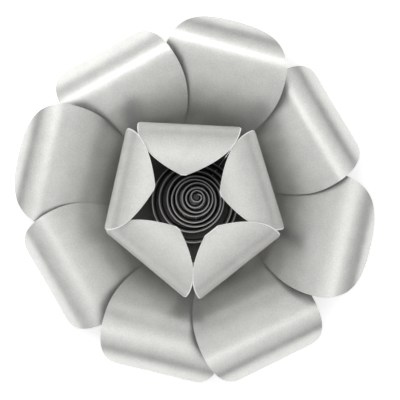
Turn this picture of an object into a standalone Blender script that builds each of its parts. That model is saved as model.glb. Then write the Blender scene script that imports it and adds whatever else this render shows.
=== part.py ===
"""Giant paper flower, lying on its back with its face up.

Metres, +Z towards the viewer, the middle of the backing disc's rear face at the origin.
Every petal is one sheet of card, bent along parallel lines and never stretched."""

import math

import bmesh
import bpy

# Card and backing
CARD = 0.0005
CLEARANCE = 0.0003
DISC_RADIUS = 0.054
DISC_THICKNESS = 0.001

# Outer petals: direction in degrees, reach and sideways shift as shares of OUTER_REACH, loose tip
OUTER_REACH = 0.180
OUTER_PETALS = (
    (75.0, 1.022, -0.031, True),
    (118.7, 0.975, -0.053, False),
    (167.3, 1.006, 0.028, True),
    (209.7, 0.943, 0.0, False),
    (256.0, 0.978, -0.017, False),
    (296.1, 1.003, -0.013, False),
    (347.0, 1.011, 0.019, True),
    (30.7, 0.944, -0.032, False),
)
OUTER_HALF_WIDTH = 0.062
OUTER_ROOT_HALF = 0.005
OUTER_TAB_HALF = 0.015
OUTER_SWELL = 1.25
OUTER_ROOT = 0.015
OUTER_TAB_END = 0.054
OUTER_RISE_ANGLE = math.radians(42.0)
OUTER_RISE_RADIUS = 0.025
OUTER_EASE_ANGLE = math.radians(16.0)
OUTER_EASE_RADIUS = 0.145
OUTER_CURL_RADIUS = 0.029
OUTER_TIP_LENGTH = 0.066
OUTER_WIDEST_BEFORE_CREST = 0.006
OUTER_TIP_TAPER = 0.55
OUTER_LOOSE_RADIUS = 0.031
OUTER_LOOSE_TIP_LENGTH = 0.050
OUTER_LOOSE_BEFORE_CREST = 0.015
OUTER_LOOSE_TAPER = 0.48
OUTER_TIP_FULLNESS = math.radians(86.0)
OUTER_SHIFT_AT = 0.150
OUTER_OVERLAP_AIR = 0.0010

# Inner petals: direction in degrees, then reach, sideways shift, wall, flap, tip's skew and the length
# that its tip is cut short, all as shares of INNER_REACH
INNER_REACH = 0.079
INNER_PETALS = (
    (87.1, 0.958, -0.097, 0.090, 0.806, -0.05, 0.012),
    (167.5, 1.023, 0.063, 0.180, 0.667, 0.0, 0.012),
    (230.2, 1.010, -0.042, 0.062, 0.786, -0.02, 0.012),
    (308.4, 1.016, 0.060, 0.080, 0.786, 0.0, 0.046),
    (16.9, 0.990, 0.013, 0.030, 0.813, 0.0, 0.012),
)
INNER_HALF_WIDTH = 0.0515
INNER_TAB_HALF = 0.026
INNER_ROOT_HALF = 0.018
INNER_ROOT = 0.018
INNER_BOWL_RADIUS = 0.050
INNER_BEND_RADIUS = 0.020
INNER_BEND_ANGLE = math.radians(70.0)
INNER_FLAP_RADIUS = 0.060
INNER_WIDEST = 0.009
INNER_CORNER = 0.004
INNER_SWELL = 0.75
INNER_POINT_SHOULDER = 2.4
INNER_SIDE_GAP = 0.0007

# Rosette: one strip rolled clockwise from its eye, leaning outwards at the top
ROSETTE_EYE = (0.0035, 0.0035)
ROSETTE_OUTER_CENTRE = (-0.0010, -0.0010)
ROSETTE_EYE_RADIUS = 0.0025
ROSETTE_PITCH = 0.0044
ROSETTE_TURNS = 8.4
ROSETTE_LOOSE_FROM = 6.4
ROSETTE_LOOSE_TURNS = 1.0
ROSETTE_LOOSE_STEP = 0.0050
ROSETTE_FLARE = 0.0030
ROSETTE_FLARE_REACH = 0.006
ROSETTE_TOP = 0.029
ROSETTE_DROP = 0.004
ROSETTE_WANDER = 0.0007
ROSETTE_WANDERS_PER_TURN = 1.37
ROSETTE_FOOT_LIFT = 1.1

# How finely the sheets are divided
DISC_SIDES = 64
OUTER_RISE_ROWS = 4
OUTER_EASE_ROWS = 5
OUTER_TIP_ROWS = 13
INNER_BOWL_ROWS = 9
INNER_WALL_ROWS = 3
INNER_FLAP_ROWS = 14
PETAL_COLUMNS = 2
ROSETTE_COLUMNS = 2
ROSETTE_STEPS_PER_TURN = 28

# Colour, roughness and metallic share of each card, as the photograph shows them
MATERIALS = {
    "pearl_card": ((0.62, 0.62, 0.59), 0.36, 0.35),
    "rosette_card": ((0.09, 0.09, 0.085), 0.5, 0.2),
    "backing_card": ((0.60, 0.60, 0.58), 0.6, 0.0),
}


def follow(section, s):
    """Distance out, height and heading at length s along a section of straight and round runs."""
    (out, height, heading), runs = section
    for length, turn in runs:
        step = min(s, length)
        if turn:
            radius = length / turn
            bend = step / radius
            out += radius * (math.sin(heading + bend) - math.sin(heading))
            height += radius * (math.cos(heading) - math.cos(heading + bend))
            heading += bend
        else:
            out += step * math.cos(heading)
            height += step * math.sin(heading)
        s -= step
        if s <= 0.0:
            break
    return out, height, heading


def section_length(section):
    return sum(length for length, _ in section[1])


def outer_tip(loose):
    """Curl radius, length from the widest line to the tip, that line's place before the crest, taper."""
    if loose:
        return OUTER_LOOSE_RADIUS, OUTER_LOOSE_TIP_LENGTH, OUTER_LOOSE_BEFORE_CREST, OUTER_LOOSE_TAPER
    return OUTER_CURL_RADIUS, OUTER_TIP_LENGTH, OUTER_WIDEST_BEFORE_CREST, OUTER_TIP_TAPER


def outer_section(petal):
    """Tab, rise, straight ramp, easing back to a crest and the curl down to the tip."""
    _, reach, _, loose = petal
    start = (OUTER_ROOT, DISC_THICKNESS + CLEARANCE + CARD / 2, 0.0)
    radius, tip_length, before_crest, _ = outer_tip(loose)
    curl = tip_length - before_crest
    past_crest = radius * math.sin(min(math.pi / 2, curl / radius))
    ease = OUTER_RISE_ANGLE - OUTER_EASE_ANGLE
    runs = [
        (OUTER_TAB_END - OUTER_ROOT, 0.0),
        (OUTER_RISE_RADIUS * OUTER_RISE_ANGLE, OUTER_RISE_ANGLE),
        (0.0, 0.0),
        (OUTER_EASE_RADIUS * ease, -ease),
        (radius * OUTER_EASE_ANGLE, -OUTER_EASE_ANGLE),
    ]
    crest = follow((start, runs), section_length((start, runs)))[0]
    runs[2] = ((OUTER_REACH * reach - past_crest - crest) / math.cos(OUTER_RISE_ANGLE), 0.0)
    return start, runs + [(curl, -curl / radius)]


def outer_half_width(petal, section, s):
    """Half the petal's width at length s: a tapered tab, a swelling blade and a rounded tip."""
    _, tip_length, _, taper = outer_tip(petal[3])
    widest = section_length(section) - tip_length
    tab = OUTER_TAB_END - OUTER_ROOT
    if s <= tab:
        return OUTER_ROOT_HALF + (OUTER_TAB_HALF - OUTER_ROOT_HALF) * s / tab
    if s <= widest:
        out = follow(section, s)[0]
        full = follow(section, widest)[0]
        share = (out - OUTER_TAB_END) / (full - OUTER_TAB_END)
        swell = math.sin(math.pi / 2 * (1.0 - (1.0 - share) ** OUTER_SWELL))
        return OUTER_TAB_HALF + (OUTER_HALF_WIDTH - OUTER_TAB_HALF) * swell
    share = (s - widest) / tip_length
    return OUTER_HALF_WIDTH * (1.0 - share**2) ** taper


def outer_axis(petal):
    """Angle of the line that the petal's middle follows, turned by its sideways shift."""
    return math.radians(petal[0]) - math.atan(petal[2] * OUTER_REACH / OUTER_SHIFT_AT)


def height_at(section, tip_length, out):
    """Height of the blade where it has come this far out, before its widest line."""
    low, high = 0.0, section_length(section) - tip_length
    for _ in range(30):
        middle = (low + high) / 2
        if follow(section, middle)[0] < out:
            low = middle
        else:
            high = middle
    return follow(section, low)[1]


def outer_roll():
    """Sideways slope that lifts every petal's clockwise edge clear over its neighbour."""
    need = 0.0
    for i, petal in enumerate(OUTER_PETALS):
        below = OUTER_PETALS[i - 1]
        apart = (outer_axis(petal) - outer_axis(below)) % (2 * math.pi)
        section, other = outer_section(petal), outer_section(below)
        tip, other_tip = outer_tip(petal[3])[1], outer_tip(below[3])[1]
        widest = section_length(section) - tip
        for step in range(20, 101):
            s = widest * step / 100
            out, height, heading = follow(section, s)
            half = outer_half_width(petal, section, s)
            far = math.hypot(half, out)
            angle = apart - math.atan2(half, out)
            if out < OUTER_TAB_END or far * math.sin(angle) > OUTER_HALF_WIDTH:
                continue
            air = CARD / math.cos(heading) + CLEARANCE + OUTER_OVERLAP_AIR
            climb = height_at(other, other_tip, far * math.cos(angle)) - height
            need = max(need, (climb + air) / (half + far * math.sin(angle)))
    return need


def roll_share(out):
    """How much of the roll has set in this far out: none on the tab, all a little past the rise."""
    span = OUTER_RISE_RADIUS * math.sin(OUTER_RISE_ANGLE)
    share = min(1.0, max(0.0, (out - OUTER_TAB_END) / span))
    return share * share * (3.0 - 2.0 * share)


def turned(direction, out, across, height):
    """A point out along the direction and across clockwise from it."""
    angle = math.radians(direction)
    x = out * math.cos(angle) + across * math.sin(angle)
    y = out * math.sin(angle) - across * math.cos(angle)
    return x, y, height


def outer_place(petal, roll, stations):
    """The function that gives a point of an outer petal from its row and its side, -1 to 1."""
    direction, _, shift, loose = petal
    section = outer_section(petal)
    tip = outer_tip(loose)[1]
    widest = section_length(section) - tip

    def place(row, side):
        s = stations[row]
        out, height, _ = follow(section, s)
        across = side * outer_half_width(petal, section, s)
        height += roll * (roll_share(out) if s < widest else 1.0) * across
        across += shift * OUTER_REACH * out / OUTER_SHIFT_AT
        return turned(direction, out, across, height)

    return place


def inner_section(petal):
    """Tab, bowl up to the upright, straight wall, bend inwards and the flap's slow curl over the middle."""
    _, reach, _, wall, flap, _, cut = petal
    start = (INNER_ROOT, DISC_THICKNESS + 2 * CLEARANCE + 1.5 * CARD, 0.0)
    tab = reach * INNER_REACH - INNER_BOWL_RADIUS - INNER_ROOT
    bend = INNER_BEND_RADIUS * INNER_BEND_ANGLE
    curl = (flap - cut) * INNER_REACH - bend
    return start, [
        (tab, 0.0),
        (INNER_BOWL_RADIUS * math.pi / 2, math.pi / 2),
        (wall * INNER_REACH, 0.0),
        (bend, INNER_BEND_ANGLE),
        (curl, curl / INNER_FLAP_RADIUS),
    ]


def inner_widest(section):
    """Length along the petal to its widest line, a little past the start of the bend."""
    return sum(length for length, _ in section[1][:3]) + INNER_WIDEST


def inner_half_width(section, cut, s):
    """Half the petal's width at length s: a tab, a swelling bowl, a drawn-in corner and a pointed flap."""
    tab = section[1][0][0]
    widest = inner_widest(section)
    if s <= tab:
        return INNER_ROOT_HALF + (INNER_TAB_HALF - INNER_ROOT_HALF) * s / tab
    if s <= widest:
        share = ((s - tab) / (widest - tab)) ** INNER_SWELL
        corner = min(1.0, (widest - s) / INNER_WIDEST)
        corner = corner * corner * (3.0 - 2.0 * corner) * share
        full = INNER_TAB_HALF + (INNER_HALF_WIDTH - INNER_TAB_HALF) * math.sin(math.pi / 2 * share)
        return full - INNER_CORNER * corner
    share = (s - widest) / (section_length(section) + cut - widest)
    return INNER_HALF_WIDTH * (1.0 - share**INNER_POINT_SHOULDER)


def inner_seam(petal, neighbour, way):
    """Angle from the petal's direction to the seam with its neighbour, clockwise if way is 1."""
    apart = math.radians((petal[0] - neighbour[0]) * way % 360.0) / 2
    return apart + way * (petal[2] + neighbour[2]) / 2


def inner_place(index, stations):
    """The function that gives a point of an inner petal from its row and its side, -1 to 1."""
    petal = INNER_PETALS[index]
    direction, _, shift, _, _, skew, cut = petal
    section = inner_section(petal)
    total = section_length(section)
    after = INNER_PETALS[(index + 1) % len(INNER_PETALS)]
    seams = inner_seam(petal, after, -1), inner_seam(petal, INNER_PETALS[index - 1], 1)
    upright = inner_widest(section) - INNER_WIDEST

    def place(row, side):
        s = stations[row]
        out, height, _ = follow(section, s)
        half = inner_half_width(section, cut * INNER_REACH, s)
        middle = INNER_REACH * shift * min(1.0, s / upright)
        middle += INNER_REACH * skew * max(0.0, (s - upright) / (total - upright))
        left, right = middle - half, middle + half
        if s <= upright:
            low, high = (out * math.tan(seam) - INNER_SIDE_GAP / 2 / math.cos(seam) for seam in seams)
            left, right = max(left, -low), min(right, high)
        return turned(direction, out, left + (right - left) * (side + 1.0) / 2, height)

    return place


def rosette_radius(turn):
    loose = min(ROSETTE_LOOSE_TURNS, max(0.0, turn - ROSETTE_LOOSE_FROM)) / ROSETTE_LOOSE_TURNS
    wander = ROSETTE_WANDER * math.sin(2 * math.pi * ROSETTE_WANDERS_PER_TURN * turn)
    return ROSETTE_EYE_RADIUS + ROSETTE_PITCH * turn + ROSETTE_LOOSE_STEP * loose + wander


def rosette_seat():
    """The petal whose bowl rises nearest the middle, which the roll has to clear."""
    return inner_section(min(INNER_PETALS, key=lambda petal: petal[1]))


def rosette_place(steps, seat, card):
    """The function that gives a point of the roll from its row and its side, -1 at the foot to 1."""
    bowl_starts = follow(seat, seat[1][0][0])[0]

    def place(row, side):
        share = row / steps
        turn = ROSETTE_TURNS * share
        level = (side + 1.0) / 2.0
        radius = rosette_radius(turn)
        flare = ROSETTE_FLARE * (1.0 - math.exp(-radius / ROSETTE_FLARE_REACH))
        off_centre = math.hypot(*ROSETTE_EYE) * (1.0 - share)
        rest = max(0.0, radius - flare + card + off_centre - bowl_starts)
        foot = seat[0][1] + CARD / 2 + CLEARANCE
        foot += (INNER_BOWL_RADIUS - math.sqrt(INNER_BOWL_RADIUS**2 - rest**2)) * ROSETTE_FOOT_LIFT
        top = ROSETTE_TOP - ROSETTE_DROP * share
        radius -= flare * (1.0 - level**2)
        angle = math.pi / 2 - 2 * math.pi * turn
        x = ROSETTE_EYE[0] + (ROSETTE_OUTER_CENTRE[0] - ROSETTE_EYE[0]) * share
        y = ROSETTE_EYE[1] + (ROSETTE_OUTER_CENTRE[1] - ROSETTE_EYE[1]) * share
        return x + radius * math.cos(angle), y + radius * math.sin(angle), foot + (top - foot) * level

    return place


def clear_scene():
    for ob in list(bpy.data.objects):
        bpy.data.objects.remove(ob, do_unlink=True)


def make_collection(name):
    collection = bpy.data.collections.new(name)
    bpy.context.scene.collection.children.link(collection)
    return collection


def make_material(name):
    colour, roughness, metallic = MATERIALS[name]
    material = bpy.data.materials.new(name)
    material.use_nodes = True
    shader = material.node_tree.nodes["Principled BSDF"]
    shader.inputs["Base Color"].default_value = (*colour, 1.0)
    shader.inputs["Roughness"].default_value = roughness
    shader.inputs["Metallic"].default_value = metallic
    return material


def add_object(bm, name, collection, material, smooth=True):
    mesh = bpy.data.meshes.new(name)
    bm.to_mesh(mesh)
    bm.free()
    for face in mesh.polygons:
        face.use_smooth = smooth
    mesh.materials.append(material)
    ob = bpy.data.objects.new(name, mesh)
    collection.objects.link(ob)
    return ob


def add_card(name, rows, columns, place, collection, material):
    """A sheet whose point (row, across) lies at place(row, across), across from -1 to 1, CARD thick."""
    bm = bmesh.new()
    bmesh.ops.create_grid(bm, x_segments=columns, y_segments=rows, size=1.0)
    for vert in bm.verts:
        row = round((vert.co.y + 1.0) / 2.0 * rows)
        vert.co = place(row, vert.co.x)
    ob = add_object(bm, name, collection, material)
    solidify = ob.modifiers.new("Card", "SOLIDIFY")
    solidify.thickness = CARD
    solidify.offset = 0.0
    solidify.use_even_offset = True
    return ob


def outer_stations(petal):
    """Lengths along the petal where the sheet has a line of points."""
    section = outer_section(petal)
    tip = outer_tip(petal[3])[1]
    tab, rise, ramp, ease = (length for length, _ in section[1][:4])
    widest = section_length(section) - tip
    stations = [0.0, tab]
    stations += [tab + rise * i / OUTER_RISE_ROWS for i in range(1, OUTER_RISE_ROWS + 1)]
    eased = tab + rise + ramp
    stations += [eased]
    span = min(ease, widest - eased - OUTER_CURL_RADIUS * OUTER_EASE_ANGLE / 2)
    stations += [eased + span * i / OUTER_EASE_ROWS for i in range(1, OUTER_EASE_ROWS + 1)]
    stations += [widest]
    for i in range(1, OUTER_TIP_ROWS + 1):
        stations += [widest + tip * math.sin(OUTER_TIP_FULLNESS * i / OUTER_TIP_ROWS)]
    return stations


def inner_stations(petal):
    """Lengths along the petal where the sheet has a line of points."""
    section = inner_section(petal)
    tab, bowl = (length for length, _ in section[1][:2])
    total = section_length(section)
    widest = inner_widest(section)
    upright = tab + bowl
    stations = [0.0, tab]
    stations += [tab + bowl * i / INNER_BOWL_ROWS for i in range(1, INNER_BOWL_ROWS + 1)]
    for i in range(1, INNER_WALL_ROWS + 1):
        stations += [upright + (widest - upright) * i / INNER_WALL_ROWS]
    for i in range(1, INNER_FLAP_ROWS + 1):
        stations += [widest + (total - widest) * i / INNER_FLAP_ROWS]
    return stations


def add_back_disc(collection, material):
    bm = bmesh.new()
    bmesh.ops.create_cone(
        bm,
        cap_ends=True,
        segments=DISC_SIDES,
        radius1=DISC_RADIUS,
        radius2=DISC_RADIUS,
        depth=DISC_THICKNESS,
    )
    bmesh.ops.translate(bm, verts=bm.verts, vec=(0.0, 0.0, DISC_THICKNESS / 2))
    return add_object(bm, "back_disc", collection, material, smooth=False)


def add_petals(collection, material):
    roll = outer_roll()
    for number, petal in enumerate(OUTER_PETALS, 1):
        stations = outer_stations(petal)
        place = outer_place(petal, roll, stations)
        rows = len(stations) - 1
        add_card(f"outer_petal_{number}", rows, PETAL_COLUMNS, place, collection, material)
    for index, petal in enumerate(INNER_PETALS):
        stations = inner_stations(petal)
        place = inner_place(index, stations)
        rows = len(stations) - 1
        add_card(f"inner_petal_{index + 1}", rows, PETAL_COLUMNS, place, collection, material)


def add_rosette(collection, material):
    steps = round(ROSETTE_TURNS * ROSETTE_STEPS_PER_TURN)
    place = rosette_place(steps, rosette_seat(), CARD)
    add_card("rosette", steps, ROSETTE_COLUMNS, place, collection, material)


def main():
    clear_scene()
    flower = make_collection("giant_paper_flower")
    materials = {name: make_material(name) for name in MATERIALS}
    add_back_disc(flower, materials["backing_card"])
    add_petals(flower, materials["pearl_card"])
    add_rosette(flower, materials["rosette_card"])


main()
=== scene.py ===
"""Giant paper flower: pearl card petals, charcoal on the outer petals' reverse, round a rolled
centre; the cup's inside and the roll carry painted shade.
"""

import math

import bmesh
import bpy
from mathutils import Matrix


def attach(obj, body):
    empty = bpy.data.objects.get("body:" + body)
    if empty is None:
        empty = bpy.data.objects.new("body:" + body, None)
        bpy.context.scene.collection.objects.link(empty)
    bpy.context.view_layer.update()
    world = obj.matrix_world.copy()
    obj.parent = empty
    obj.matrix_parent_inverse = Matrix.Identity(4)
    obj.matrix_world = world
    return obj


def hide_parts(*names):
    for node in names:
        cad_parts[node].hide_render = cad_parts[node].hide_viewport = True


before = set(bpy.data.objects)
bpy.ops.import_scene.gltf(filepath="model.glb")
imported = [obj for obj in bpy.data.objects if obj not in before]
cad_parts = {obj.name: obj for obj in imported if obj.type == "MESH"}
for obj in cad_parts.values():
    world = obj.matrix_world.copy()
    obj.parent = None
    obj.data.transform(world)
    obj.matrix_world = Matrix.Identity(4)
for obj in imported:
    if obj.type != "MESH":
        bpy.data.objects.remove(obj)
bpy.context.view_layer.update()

# Card and backing
CARD = 0.0005
CLEARANCE = 0.0003
DISC_THICKNESS = 0.001

# Outer petals: direction in degrees, reach and sideways shift as shares of OUTER_REACH, loose tip
OUTER_REACH = 0.180
OUTER_PETALS = (
    (75.0, 1.022, -0.031, True),
    (118.7, 0.975, -0.053, False),
    (167.3, 1.006, 0.028, True),
    (209.7, 0.943, 0.0, False),
    (256.0, 0.978, -0.017, False),
    (296.1, 1.003, -0.013, False),
    (347.0, 1.011, 0.019, True),
    (30.7, 0.944, -0.032, False),
)
OUTER_HALF_WIDTH = 0.062
OUTER_ROOT_HALF = 0.005
OUTER_TAB_HALF = 0.015
OUTER_SWELL = 1.25
OUTER_ROOT = 0.015
OUTER_TAB_END = 0.054
OUTER_RISE_ANGLE = math.radians(42.0)
OUTER_RISE_RADIUS = 0.025
OUTER_EASE_ANGLE = math.radians(16.0)
OUTER_EASE_RADIUS = 0.145
OUTER_CURL_RADIUS = 0.029
OUTER_TIP_LENGTH = 0.066
OUTER_WIDEST_BEFORE_CREST = 0.006
OUTER_TIP_TAPER = 0.55
OUTER_LOOSE_RADIUS = 0.031
OUTER_LOOSE_TIP_LENGTH = 0.050
OUTER_LOOSE_BEFORE_CREST = 0.015
OUTER_LOOSE_TAPER = 0.48
OUTER_SHIFT_AT = 0.150
OUTER_OVERLAP_AIR = 0.0010

# Inner petals: direction in degrees, then reach, sideways shift, wall, flap, the tip's skew and the
# length that it is cut short, all as shares of INNER_REACH
INNER_REACH = 0.079
INNER_PETALS = (
    (87.1, 0.958, -0.097, 0.090, 0.806, -0.05, 0.012),
    (167.5, 1.023, 0.063, 0.180, 0.667, 0.0, 0.012),
    (230.2, 1.010, -0.042, 0.062, 0.786, -0.02, 0.012),
    (308.4, 1.016, 0.060, 0.080, 0.786, 0.0, 0.046),
    (16.9, 0.990, 0.013, 0.030, 0.813, 0.0, 0.012),
)
INNER_HALF_WIDTH = 0.0515
INNER_TAB_HALF = 0.026
INNER_ROOT_HALF = 0.018
INNER_ROOT = 0.018
INNER_BOWL_RADIUS = 0.050
INNER_BEND_RADIUS = 0.020
INNER_BEND_ANGLE = math.radians(70.0)
INNER_FLAP_RADIUS = 0.060
INNER_WIDEST = 0.009
INNER_CORNER = 0.004
INNER_SWELL = 0.75
INNER_POINT_SHOULDER = 2.4
INNER_SIDE_GAP = 0.0007

# Rosette: one strip rolled clockwise from its eye, leaning outwards at the top
ROSETTE_EYE = (0.0035, 0.0035)
ROSETTE_OUTER_CENTRE = (-0.0010, -0.0010)
ROSETTE_EYE_RADIUS = 0.0025
ROSETTE_PITCH = 0.0044
ROSETTE_TURNS = 8.4
ROSETTE_LOOSE_FROM = 6.4
ROSETTE_LOOSE_TURNS = 1.0
ROSETTE_LOOSE_STEP = 0.0050
ROSETTE_FLARE = 0.0030
ROSETTE_FLARE_REACH = 0.006
ROSETTE_TOP = 0.029
ROSETTE_DROP = 0.004
ROSETTE_WANDER = 0.0007
ROSETTE_WANDERS_PER_TURN = 1.37
ROSETTE_FOOT_LIFT = 1.1

# How finely the sheets are divided here
BLADE_ROWS = 56
TIP_ROWS = 44
TIP_FULLNESS = math.radians(87.5)
PETAL_COLUMNS = 12
ROSETTE_COLUMNS = 8
ROSETTE_STEPS_PER_TURN = 72
HEIGHT_HALVINGS = 30
ROLL_STEPS = 100
ROLL_FIRST_STEP = 20

# Places of the reverse and the cut edge among a card's three materials, the front being 0
REVERSE = 1
EDGE = 2

# The cards as they are drawn: the rosette's own thickness, the width of the pale rims and the height
# above which they are seen, the reach of the painted shade over the outer petals' fronts near the
# middle, and the fold that stays sharp
ROSETTE_CARD = 0.0010
RIM_WIDTH = 0.0012
RIM_SHOWS_ABOVE = 0.060
PAINTED_SHADE_RADIUS = 0.062
SHARP_ANGLE = math.radians(50.0)

# Waves across each outer petal: their heights, their length, where they start, and how they are
# offset from petal to petal, slanted across the petal and varied in height
RIPPLE_HEIGHTS = (0.00005, 0.00005, 0.00010, 0.00012, 0.00020, 0.00014, 0.00016, 0.00010)
RIPPLE_LENGTH = 0.021
RIPPLES_START = 0.030
RIPPLE_OFFSET = 2.3
RIPPLE_SLANT = 0.6
RIPPLE_BEAT = 0.31
RIPPLE_MEAN = 0.6
RIPPLE_SWING = 0.4

# The card's grain: sizes are given as repeats per metre
CLOUDS = {"Scale": 60.0, "Detail": 3.0, "Roughness": 0.6}
FIBRES = {"Scale": 700.0, "Detail": 2.0, "Roughness": 0.7}
FIBRE_SHARE = 0.6
FIBRE_DEPTH = 0.0001
SPECKS_FROM = 0.35
SPECKS_TO = 0.65
ROUGHNESS_SWING = 0.08

# Where the painted shade sets in: this far below and above the flower's middle, and between these
# heights
SHADE_REACH = 0.032
DEEP_BELOW = 0.017
DEEP_ABOVE = 0.031

# Floor
FLOOR_HALF = 6.0
FLOOR_DROP = 0.0005
FLOOR_COLOUR = 0.9
FLOOR_ROUGHNESS = 0.9
FLOOR_SPECULAR = 0.1
FLOOR_GLOW = 0.55

# Softboxes: side they stand on and height above the table in degrees, distance, width, power
SOFTBOXES = (
    (90.0, 86.0, 2.4, 1.1, 3.8),
    (120.0, 20.0, 2.4, 1.5, 4.6),
    (240.0, 20.0, 2.4, 1.5, 3.2),
)

# A softbox with a grid, which hangs to the upper left and shines straight down
KEY_PLACE = (-0.58, 0.60, 1.20)
KEY_WIDTH = 0.9
KEY_POWER = 2.0
KEY_SPREAD = math.radians(44.0)

# Light of the room: pairs of height, from the level of the floor up to overhead, and brightness
ROOM_STRENGTH = 1.06
ROOM_LIGHT = ((0.0, 1.0), (0.35, 0.10), (0.80, 0.92))

# Camera: straight above, with a frame of this width at this height
CAMERA_DISTANCE = 4.0
FRAME_WIDTH = 0.400
FRAME_AT_HEIGHT = 0.035
FRAME_CENTRE = (0.006, 0.001)
SENSOR_WIDTH = 36.0
CLIP_START = 0.1
CLIP_END = 50.0


def smooth(share):
    """A share from 0 to 1 that starts and ends gently."""
    return share * share * (3.0 - 2.0 * share)


def follow(section, s):
    """Distance out, height and heading at length s along a section of straight and round runs."""
    (out, height, heading), runs = section
    for length, turn in runs:
        step = min(s, length)
        if turn:
            radius = length / turn
            bend = step / radius
            out += radius * (math.sin(heading + bend) - math.sin(heading))
            height += radius * (math.cos(heading) - math.cos(heading + bend))
            heading += bend
        else:
            out += step * math.cos(heading)
            height += step * math.sin(heading)
        s -= step
        if s <= 0.0:
            break
    return out, height, heading


def section_length(section):
    return sum(length for length, _ in section[1])


def outer_tip(loose):
    """Curl radius, length from widest line to tip, that line's place before the crest, taper."""
    if loose:
        length, before_crest = OUTER_LOOSE_TIP_LENGTH, OUTER_LOOSE_BEFORE_CREST
        return OUTER_LOOSE_RADIUS, length, before_crest, OUTER_LOOSE_TAPER
    return OUTER_CURL_RADIUS, OUTER_TIP_LENGTH, OUTER_WIDEST_BEFORE_CREST, OUTER_TIP_TAPER


def outer_section(petal):
    """Tab, rise, straight ramp, easing back to a crest and the curl down to the tip."""
    _, reach, _, loose = petal
    start = (OUTER_ROOT, DISC_THICKNESS + CLEARANCE + CARD / 2, 0.0)
    radius, tip_length, before_crest, _ = outer_tip(loose)
    curl = tip_length - before_crest
    past_crest = radius * math.sin(min(math.pi / 2, curl / radius))
    ease = OUTER_RISE_ANGLE - OUTER_EASE_ANGLE
    runs = [
        (OUTER_TAB_END - OUTER_ROOT, 0.0),
        (OUTER_RISE_RADIUS * OUTER_RISE_ANGLE, OUTER_RISE_ANGLE),
        (0.0, 0.0),
        (OUTER_EASE_RADIUS * ease, -ease),
        (radius * OUTER_EASE_ANGLE, -OUTER_EASE_ANGLE),
    ]
    crest = follow((start, runs), section_length((start, runs)))[0]
    runs[2] = ((OUTER_REACH * reach - past_crest - crest) / math.cos(OUTER_RISE_ANGLE), 0.0)
    return start, runs + [(curl, -curl / radius)]


def outer_half_width(petal, section, s):
    """Half the petal's width at length s: a tapered tab, a swelling blade and a rounded tip."""
    _, tip_length, _, taper = outer_tip(petal[3])
    widest = section_length(section) - tip_length
    tab = OUTER_TAB_END - OUTER_ROOT
    if s <= tab:
        return OUTER_ROOT_HALF + (OUTER_TAB_HALF - OUTER_ROOT_HALF) * s / tab
    if s <= widest:
        out = follow(section, s)[0]
        full = follow(section, widest)[0]
        share = (out - OUTER_TAB_END) / (full - OUTER_TAB_END)
        swell = math.sin(math.pi / 2 * (1.0 - (1.0 - share) ** OUTER_SWELL))
        return OUTER_TAB_HALF + (OUTER_HALF_WIDTH - OUTER_TAB_HALF) * swell
    share = (s - widest) / tip_length
    return OUTER_HALF_WIDTH * (1.0 - share**2) ** taper


def outer_axis(petal):
    """Angle of the line that the petal's middle follows, turned by its sideways shift."""
    return math.radians(petal[0]) - math.atan(petal[2] * OUTER_REACH / OUTER_SHIFT_AT)


def height_at(section, tip_length, out):
    """Height of the blade where it has come this far out, before its widest line."""
    low, high = 0.0, section_length(section) - tip_length
    for _ in range(HEIGHT_HALVINGS):
        middle = (low + high) / 2
        if follow(section, middle)[0] < out:
            low = middle
        else:
            high = middle
    return follow(section, low)[1]


def outer_roll():
    """Sideways slope that lifts every petal's clockwise edge clear over its neighbour."""
    need = 0.0
    for i, petal in enumerate(OUTER_PETALS):
        below = OUTER_PETALS[i - 1]
        apart = (outer_axis(petal) - outer_axis(below)) % (2 * math.pi)
        section, other = outer_section(petal), outer_section(below)
        tip, other_tip = outer_tip(petal[3])[1], outer_tip(below[3])[1]
        widest = section_length(section) - tip
        for step in range(ROLL_FIRST_STEP, ROLL_STEPS + 1):
            s = widest * step / ROLL_STEPS
            out, height, heading = follow(section, s)
            half = outer_half_width(petal, section, s)
            far = math.hypot(half, out)
            angle = apart - math.atan2(half, out)
            if out < OUTER_TAB_END or far * math.sin(angle) > OUTER_HALF_WIDTH:
                continue
            air = CARD / math.cos(heading) + CLEARANCE + OUTER_OVERLAP_AIR
            climb = height_at(other, other_tip, far * math.cos(angle)) - height
            need = max(need, (climb + air) / (half + far * math.sin(angle)))
    return need


def roll_share(out):
    """How much of the roll has set in this far out: none on the tab, all a little past the rise."""
    span = OUTER_RISE_RADIUS * math.sin(OUTER_RISE_ANGLE)
    share = min(1.0, max(0.0, (out - OUTER_TAB_END) / span))
    return smooth(share)


def turned(direction, out, across, height):
    """A point out along the direction and across clockwise from it."""
    angle = math.radians(direction)
    x = out * math.cos(angle) + across * math.sin(angle)
    y = out * math.sin(angle) - across * math.cos(angle)
    return x, y, height


def outer_place(petal, roll, stations):
    """The function that gives a point of an outer petal from its row and its side, -1 to 1."""
    direction, _, shift, loose = petal
    section = outer_section(petal)
    tip = outer_tip(loose)[1]
    widest = section_length(section) - tip

    def place(row, side):
        s = stations[row]
        out, height, _ = follow(section, s)
        across = side * outer_half_width(petal, section, s)
        height += roll * (roll_share(out) if s < widest else 1.0) * across
        across += shift * OUTER_REACH * out / OUTER_SHIFT_AT
        return turned(direction, out, across, height)

    return place


def inner_section(petal):
    """Tab, bowl up to the upright, straight wall, bend inwards and the flap's slow curl."""
    _, reach, _, wall, flap, _, cut = petal
    start = (INNER_ROOT, DISC_THICKNESS + 2 * CLEARANCE + 1.5 * CARD, 0.0)
    tab = reach * INNER_REACH - INNER_BOWL_RADIUS - INNER_ROOT
    bend = INNER_BEND_RADIUS * INNER_BEND_ANGLE
    curl = (flap - cut) * INNER_REACH - bend
    return start, [
        (tab, 0.0),
        (INNER_BOWL_RADIUS * math.pi / 2, math.pi / 2),
        (wall * INNER_REACH, 0.0),
        (bend, INNER_BEND_ANGLE),
        (curl, curl / INNER_FLAP_RADIUS),
    ]


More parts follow.
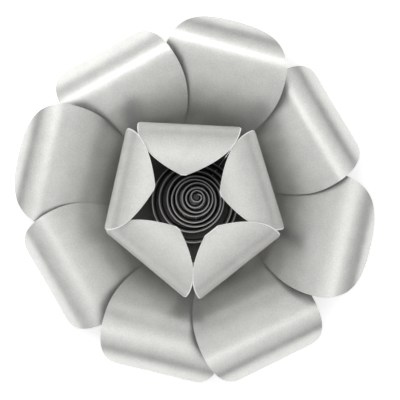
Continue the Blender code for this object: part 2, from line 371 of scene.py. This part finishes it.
def inner_widest(section):
    """Length along the petal to its widest line, a little past the start of the bend."""
    return sum(length for length, _ in section[1][:3]) + INNER_WIDEST


def inner_half_width(section, cut, s):
    """Half the petal's width at length s: tab, swelling bowl, drawn-in corner and pointed flap."""
    tab = section[1][0][0]
    widest = inner_widest(section)
    if s <= tab:
        return INNER_ROOT_HALF + (INNER_TAB_HALF - INNER_ROOT_HALF) * s / tab
    if s <= widest:
        share = ((s - tab) / (widest - tab)) ** INNER_SWELL
        corner = smooth(min(1.0, (widest - s) / INNER_WIDEST)) * share
        full = INNER_TAB_HALF + (INNER_HALF_WIDTH - INNER_TAB_HALF) * math.sin(math.pi / 2 * share)
        return full - INNER_CORNER * corner
    share = (s - widest) / (section_length(section) + cut - widest)
    return INNER_HALF_WIDTH * (1.0 - share**INNER_POINT_SHOULDER)


def inner_seam(petal, neighbour, way):
    """Angle from the petal's direction to the seam with its neighbour, clockwise if way is 1."""
    apart = math.radians((petal[0] - neighbour[0]) * way % 360.0) / 2
    return apart + way * (petal[2] + neighbour[2]) / 2


def inner_place(index, stations):
    """The function that gives a point of an inner petal from its row and its side, -1 to 1."""
    petal = INNER_PETALS[index]
    direction, _, shift, _, _, skew, cut = petal
    section = inner_section(petal)
    total = section_length(section)
    after = INNER_PETALS[(index + 1) % len(INNER_PETALS)]
    seams = inner_seam(petal, after, -1), inner_seam(petal, INNER_PETALS[index - 1], 1)
    upright = inner_widest(section) - INNER_WIDEST

    def place(row, side):
        s = stations[row]
        out, height, _ = follow(section, s)
        half = inner_half_width(section, cut * INNER_REACH, s)
        middle = INNER_REACH * shift * min(1.0, s / upright)
        middle += INNER_REACH * skew * max(0.0, (s - upright) / (total - upright))
        left, right = middle - half, middle + half
        if s <= upright:
            low, high = (out * math.tan(seam) - INNER_SIDE_GAP / 2 / math.cos(seam) for seam in seams)
            left, right = max(left, -low), min(right, high)
        return turned(direction, out, left + (right - left) * (side + 1.0) / 2, height)

    return place


def rosette_radius(turn):
    loose = min(ROSETTE_LOOSE_TURNS, max(0.0, turn - ROSETTE_LOOSE_FROM)) / ROSETTE_LOOSE_TURNS
    wander = ROSETTE_WANDER * math.sin(2 * math.pi * ROSETTE_WANDERS_PER_TURN * turn)
    return ROSETTE_EYE_RADIUS + ROSETTE_PITCH * turn + ROSETTE_LOOSE_STEP * loose + wander


def rosette_seat():
    """The petal whose bowl rises nearest the middle, which the roll has to clear."""
    return inner_section(min(INNER_PETALS, key=lambda petal: petal[1]))


def rosette_place(steps, seat, card):
    """The function that gives a point of the roll from its row and its side, -1 at the foot to 1."""
    bowl_starts = follow(seat, seat[1][0][0])[0]

    def place(row, side):
        share = row / steps
        turn = ROSETTE_TURNS * share
        level = (side + 1.0) / 2.0
        radius = rosette_radius(turn)
        flare = ROSETTE_FLARE * (1.0 - math.exp(-radius / ROSETTE_FLARE_REACH))
        off_centre = math.hypot(*ROSETTE_EYE) * (1.0 - share)
        rest = max(0.0, radius - flare + card + off_centre - bowl_starts)
        foot = seat[0][1] + CARD / 2 + CLEARANCE
        foot += (INNER_BOWL_RADIUS - math.sqrt(INNER_BOWL_RADIUS**2 - rest**2)) * ROSETTE_FOOT_LIFT
        top = ROSETTE_TOP - ROSETTE_DROP * share
        radius -= flare * (1.0 - level**2)
        angle = math.pi / 2 - 2 * math.pi * turn
        x = ROSETTE_EYE[0] + (ROSETTE_OUTER_CENTRE[0] - ROSETTE_EYE[0]) * share
        y = ROSETTE_EYE[1] + (ROSETTE_OUTER_CENTRE[1] - ROSETTE_EYE[1]) * share
        height = foot + (top - foot) * level
        return x + radius * math.cos(angle), y + radius * math.sin(angle), height

    return place


def node(tree, kind, **inputs):
    made = tree.nodes.new(kind)
    for key, value in inputs.items():
        made.inputs[key.replace("_", " ")].default_value = value
    return made


def math_node(tree, kind, operation):
    made = tree.nodes.new(kind)
    made.operation = operation
    return made


def speckled(tree, colour, mottle, cloud, fine):
    """The card's colour, broken up by faint clouds and fibres."""
    link = tree.links.new
    speck = node(tree, "ShaderNodeMix", Factor=FIBRE_SHARE)
    link(cloud.outputs["Fac"], speck.inputs["A"])
    link(fine.outputs["Fac"], speck.inputs["B"])
    ramp = tree.nodes.new("ShaderNodeValToRGB")
    dark, light = ramp.color_ramp.elements
    dark.position, light.position = SPECKS_FROM, SPECKS_TO
    dark.color = (*(c * (1.0 - mottle) for c in colour), 1.0)
    light.color = (*(min(1.0, c * (1.0 + mottle)) for c in colour), 1.0)
    link(speck.outputs["Result"], ramp.inputs["Fac"])
    return ramp.outputs["Color"]


def shaded(tree, place, colour, top_shade, deep_shade):
    """Painted shade: the colour darker by top_shade towards the flower's top and by deep_shade low in
    the cup.
    """
    link = tree.links.new
    split = tree.nodes.new("ShaderNodeSeparateXYZ")
    top = node(tree, "ShaderNodeMapRange", From_Min=-SHADE_REACH, From_Max=SHADE_REACH)
    top.inputs["To Min"].default_value = 1.0
    top.inputs["To Max"].default_value = top_shade
    deep = node(tree, "ShaderNodeMapRange", From_Min=DEEP_BELOW, From_Max=DEEP_ABOVE)
    deep.inputs["To Min"].default_value = deep_shade
    both = math_node(tree, "ShaderNodeMath", "MULTIPLY")
    tinted = math_node(tree, "ShaderNodeVectorMath", "SCALE")
    link(place.outputs["Object"], split.inputs["Vector"])
    link(split.outputs["Y"], top.inputs["Value"])
    link(split.outputs["Z"], deep.inputs["Value"])
    link(top.outputs["Result"], both.inputs[0])
    link(deep.outputs["Result"], both.inputs[1])
    link(colour, tinted.inputs["Vector"])
    link(both.outputs["Value"], tinted.inputs["Scale"])
    return tinted.outputs["Vector"]


def card_material(
    name, colour, roughness=0.6, metallic=0.0, mottle=0.06, grain=0.5, top_shade=1.0, deep_shade=1.0
):
    """Card with a fibrous grain and faint clouds, and painted shade set by top_shade and deep_shade.
    """
    material = bpy.data.materials.new(name)
    material.use_nodes = True
    tree = material.node_tree
    link = tree.links.new
    shader = tree.nodes["Principled BSDF"]
    shader.inputs["Metallic"].default_value = metallic
    place = tree.nodes.new("ShaderNodeTexCoord")
    cloud = node(tree, "ShaderNodeTexNoise", **CLOUDS)
    fine = node(tree, "ShaderNodeTexNoise", **FIBRES)
    link(place.outputs["Object"], cloud.inputs["Vector"])
    link(place.outputs["Object"], fine.inputs["Vector"])
    specks = speckled(tree, colour, mottle, cloud, fine)
    link(shaded(tree, place, specks, top_shade, deep_shade), shader.inputs["Base Color"])
    rough = tree.nodes.new("ShaderNodeMapRange")
    rough.inputs["To Min"].default_value = roughness - ROUGHNESS_SWING
    rough.inputs["To Max"].default_value = roughness + ROUGHNESS_SWING
    link(cloud.outputs["Fac"], rough.inputs["Value"])
    link(rough.outputs["Result"], shader.inputs["Roughness"])
    bump = node(tree, "ShaderNodeBump", Strength=grain, Distance=FIBRE_DEPTH)
    link(fine.outputs["Fac"], bump.inputs["Height"])
    link(bump.outputs["Normal"], shader.inputs["Normal"])
    return material


PEARL = card_material(
    "pearl_front", (0.68, 0.68, 0.66), roughness=0.40, metallic=0.92, mottle=0.10, grain=0.9
)
# Painted shade: the flaps are the same card as the pearl front, drawn a little darker, and rougher
# and less metallic.
SATIN_WITH_PAINTED_SHADE = card_material(
    "satin_front_painted_shade", (0.64, 0.64, 0.62), roughness=0.50, metallic=0.70, mottle=0.10, grain=0.9
)
# Charcoal reverse of the outer petals, also used as painted shade over their fronts near the middle.
CHARCOAL_AND_PAINTED_SHADE = card_material("charcoal_reverse_and_painted_shade", (0.20, 0.20, 0.19))
# Painted shade: the cup's grey inside is drawn darker towards the flower's top and low in the cup.
CUP_INSIDE = card_material("cup_inside", (0.38, 0.38, 0.36), top_shade=0.30, deep_shade=0.55)
# Painted shade: the rosette's light grey walls are drawn near black low in the roll and towards the
# flower's top.
ROSETTE_WALL = card_material("rosette_wall", (0.80, 0.80, 0.77), top_shade=0.05, deep_shade=0.05)
CUT_EDGE = card_material("cut_edge", (0.95, 0.95, 0.93), mottle=0.02, grain=0.1)
# Painted shade: the rosette's pale cut edges are drawn darker towards the flower's top.
ROSETTE_EDGE = card_material(
    "rosette_edge", (0.98, 0.98, 0.95), mottle=0.02, grain=0.1, top_shade=0.15
)
BACKING = card_material("backing_face", (0.60, 0.60, 0.58), roughness=0.7)


def even(columns):
    return [2.0 * i / columns - 1.0 for i in range(columns + 1)]


def with_rims(sides):
    """The same lines across, with one more just inside each cut edge."""
    rim = 1.0 - RIM_WIDTH / INNER_HALF_WIDTH
    return [-1.0, -rim] + sides[1:-1] + [rim, 1.0]


def add_object(name, mesh):
    ob = bpy.data.objects.new(name, mesh)
    bpy.context.scene.collection.objects.link(ob)
    return ob


def sheet_mesh(name, rows, sides, place, flip, rim_above):
    """A sheet without thickness through place(row, side), with a pale rim above a height."""
    bm = bmesh.new()
    columns = len(sides) - 1
    bmesh.ops.create_grid(bm, x_segments=columns, y_segments=rows, size=1.0)
    inside_x, inside_y = 1.0 - 2.0 / columns, 1.0 - 2.0 / rows
    middles = {face: face.calc_center_median() for face in bm.faces}
    border = [face for face, at in middles.items() if abs(at.x) > inside_x or at.y > inside_y]
    for vert in bm.verts:
        row = round((vert.co.y + 1.0) / 2.0 * rows)
        column = round((vert.co.x + 1.0) / 2.0 * columns)
        vert.co = place(row, sides[column])
    for face in border:
        if rim_above is not None and face.calc_center_median().z > rim_above:
            face.material_index = EDGE
    if flip:
        bmesh.ops.reverse_faces(bm, faces=bm.faces)
    mesh = bpy.data.meshes.new(name)
    bm.to_mesh(mesh)
    bm.free()
    return mesh


def thickened(name, sheet, thickness):
    """The sheet as a solid card of this thickness, with its own reverse and cut edge."""
    draft = add_object(name + "_draft", sheet)
    solidify = draft.modifiers.new("Card", "SOLIDIFY")
    solidify.thickness = thickness
    solidify.offset = 0.0
    solidify.use_even_offset = True
    solidify.material_offset = REVERSE
    solidify.material_offset_rim = EDGE
    depsgraph = bpy.context.evaluated_depsgraph_get()
    mesh = bpy.data.meshes.new_from_object(draft.evaluated_get(depsgraph))
    bpy.data.objects.remove(draft, do_unlink=True)
    mesh.name = name
    return mesh


def add_card(
    name, replaced, materials, rows, sides, place, thickness=CARD, flip=False, rim_above=None
):
    """A card through place(row, side), whose rims are pale above a height or all along."""
    sheet = sheet_mesh(name, rows, sides, place, flip, rim_above)
    for material in materials:
        sheet.materials.append(material)
    mesh = thickened(name, sheet, thickness)
    for face in mesh.polygons:
        face.use_smooth = True
        if rim_above is not None and face.material_index == EDGE and face.center.z < rim_above:
            face.material_index = REVERSE
    mesh.set_sharp_from_angle(angle=SHARP_ANGLE)
    ob = add_object(name, mesh)
    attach(ob, "root")
    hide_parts(replaced)
    return ob


def rippled(place, number, stations):
    """The same petal with the shallow waves that drawing the card over an edge leaves across it."""
    depth = RIPPLE_HEIGHTS[number - 1]

    def waved(row, side):
        x, y, z = place(row, side)
        s = stations[row]
        fade = min(1.0, max(0.0, (s - RIPPLES_START) / RIPPLES_START))
        phase = 2 * math.pi * s / RIPPLE_LENGTH + RIPPLE_OFFSET * number + RIPPLE_SLANT * side
        beat = RIPPLE_MEAN + RIPPLE_SWING * math.sin(RIPPLE_BEAT * phase + number)
        return x, y, z + depth * fade * beat * math.sin(phase)

    return waved


def add_outer_petal(number, petal, roll):
    section = outer_section(petal)
    tip = outer_tip(petal[3])[1]
    widest = section_length(section) - tip
    stations = [widest * i / BLADE_ROWS for i in range(BLADE_ROWS + 1)]
    for i in range(1, TIP_ROWS + 1):
        stations += [widest + tip * math.sin(TIP_FULLNESS * i / TIP_ROWS)]
    card = add_card(
        f"outer_petal_{number}_card",
        f"outer_petal_{number}",
        (PEARL, CHARCOAL_AND_PAINTED_SHADE, CUT_EDGE),
        rows=len(stations) - 1,
        sides=even(PETAL_COLUMNS),
        place=rippled(outer_place(petal, roll, stations), number, stations),
    )
    # Painted shade: the fronts near the middle are drawn in the dark reverse material.
    for face in card.data.polygons:
        if face.center.xy.length < PAINTED_SHADE_RADIUS:
            face.material_index = REVERSE


def add_inner_petal(index, petal):
    section = inner_section(petal)
    total = section_length(section)
    widest = inner_widest(section)
    stations = [widest * i / BLADE_ROWS for i in range(BLADE_ROWS + 1)]
    stations += [widest + (total - widest) * i / TIP_ROWS for i in range(1, TIP_ROWS + 1)]
    add_card(
        f"inner_petal_{index + 1}_card",
        f"inner_petal_{index + 1}",
        (SATIN_WITH_PAINTED_SHADE, CUP_INSIDE, CUT_EDGE),
        rows=len(stations) - 1,
        sides=with_rims(even(PETAL_COLUMNS)),
        place=inner_place(index, stations),
        flip=True,
        rim_above=RIM_SHOWS_ABOVE,
    )


def add_rosette():
    steps = round(ROSETTE_TURNS * ROSETTE_STEPS_PER_TURN)
    add_card(
        "rosette_strip",
        "rosette",
        (ROSETTE_WALL, ROSETTE_WALL, ROSETTE_EDGE),
        rows=steps,
        sides=even(ROSETTE_COLUMNS),
        place=rosette_place(steps, rosette_seat(), CARD),
        thickness=ROSETTE_CARD,
    )


def floor_material():
    """A pale matt floor that is white to the camera and in reflections, and keeps shadows."""
    material = bpy.data.materials.new("floor")
    material.use_nodes = True
    tree = material.node_tree
    link = tree.links.new
    shader = tree.nodes["Principled BSDF"]
    shader.inputs["Base Color"].default_value = (FLOOR_COLOUR, FLOOR_COLOUR, FLOOR_COLOUR, 1.0)
    shader.inputs["Roughness"].default_value = FLOOR_ROUGHNESS
    shader.inputs["Specular IOR Level"].default_value = FLOOR_SPECULAR
    shader.inputs["Emission Color"].default_value = (1.0, 1.0, 1.0, 1.0)
    seen = tree.nodes.new("ShaderNodeLightPath")
    either = math_node(tree, "ShaderNodeMath", "MAXIMUM")
    glow = math_node(tree, "ShaderNodeMath", "MULTIPLY")
    glow.inputs[1].default_value = FLOOR_GLOW
    link(seen.outputs["Is Camera Ray"], either.inputs[0])
    link(seen.outputs["Is Glossy Ray"], either.inputs[1])
    link(either.outputs[0], glow.inputs[0])
    link(glow.outputs[0], shader.inputs["Emission Strength"])
    return material


def add_floor():
    mesh = bpy.data.meshes.new("floor")
    bm = bmesh.new()
    bmesh.ops.create_grid(bm, x_segments=1, y_segments=1, size=FLOOR_HALF)
    bm.to_mesh(mesh)
    bm.free()
    mesh.materials.append(floor_material())
    floor = add_object("floor", mesh)
    floor.location.z = -FLOOR_DROP


def add_lamp(name, width, power):
    lamp = bpy.data.lights.new(name, "AREA")
    lamp.shape = "SQUARE"
    lamp.size = width
    lamp.energy = power
    return add_object(name, lamp)


def add_key():
    ob = add_lamp("key", KEY_WIDTH, KEY_POWER)
    ob.data.spread = KEY_SPREAD
    ob.location = KEY_PLACE


def add_softbox(side, height, distance, width, power):
    """A square softbox that looks at the flower."""
    ob = add_lamp("softbox", width, power)
    around, up = math.radians(side), math.radians(height)
    flat = distance * math.cos(up)
    ob.location = flat * math.cos(around), flat * math.sin(around), distance * math.sin(up)
    ob.rotation_mode = "QUATERNION"
    ob.rotation_quaternion = ob.location.normalized().to_track_quat("Z", "Y")


def add_world():
    """A white room, bright overhead and at the level of the table and dim between."""
    world = bpy.data.worlds.new("studio")
    bpy.context.scene.world = world
    world.use_nodes = True
    tree = world.node_tree
    link = tree.links.new
    place = tree.nodes.new("ShaderNodeTexCoord")
    split = tree.nodes.new("ShaderNodeSeparateXYZ")
    ramp = tree.nodes.new("ShaderNodeValToRGB")
    ramp.color_ramp.elements.new(ROOM_LIGHT[1][0])
    for element, (height, light) in zip(ramp.color_ramp.elements, ROOM_LIGHT):
        element.position = height
        element.color = (light, light, light, 1.0)
    background = tree.nodes["Background"]
    background.inputs["Strength"].default_value = ROOM_STRENGTH
    link(place.outputs["Generated"], split.inputs["Vector"])
    link(split.outputs["Z"], ramp.inputs["Fac"])
    link(ramp.outputs["Color"], background.inputs["Color"])


def add_camera():
    data = bpy.data.cameras.new("camera")
    data.sensor_width = SENSOR_WIDTH
    data.lens = SENSOR_WIDTH * (CAMERA_DISTANCE - FRAME_AT_HEIGHT) / FRAME_WIDTH
    data.clip_start = CLIP_START
    data.clip_end = CLIP_END
    camera = add_object("camera", data)
    camera.location = (*FRAME_CENTRE, CAMERA_DISTANCE)
    bpy.context.scene.camera = camera


def add_flower():
    roll = outer_roll()
    for number, petal in enumerate(OUTER_PETALS, 1):
        add_outer_petal(number, petal, roll)
    for index, petal in enumerate(INNER_PETALS):
        add_inner_petal(index, petal)
    add_rosette()
    for disc_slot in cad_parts["back_disc"].material_slots:
        disc_slot.material = BACKING


add_flower()
add_floor()
add_world()
add_key()
for softbox in SOFTBOXES:
    add_softbox(*softbox)
add_camera()
bpy.context.scene.view_settings.view_transform = "Standard"
